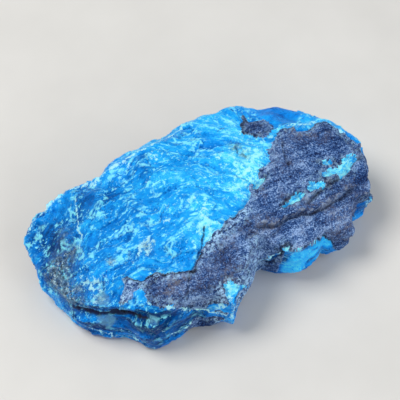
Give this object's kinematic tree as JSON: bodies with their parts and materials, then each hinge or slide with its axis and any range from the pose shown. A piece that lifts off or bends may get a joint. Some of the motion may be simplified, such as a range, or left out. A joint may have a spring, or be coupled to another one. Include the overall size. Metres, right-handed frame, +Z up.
{
  "type": "raw amber nugget",
  "caption": "Raw nugget of blue-glowing amber with broken, shell-shaped faces and the remains of a dark weathered crust, lying on its flat side.",
  "frame": {"origin": "middle of the bounding box in plan, on the plane that the nugget rests on", "axes": "+X along the length, +Y across the width towards the far long side, +Z up"},
  "size_m": [0.1038, 0.0606, 0.0275],
  "materials": {
    "amber": "satin, broken resin that glows blue, with a dull dark crust over part of it"
  },
  "bodies": {
    "root": {"nugget": "amber"}
  },
  "joints": []
}
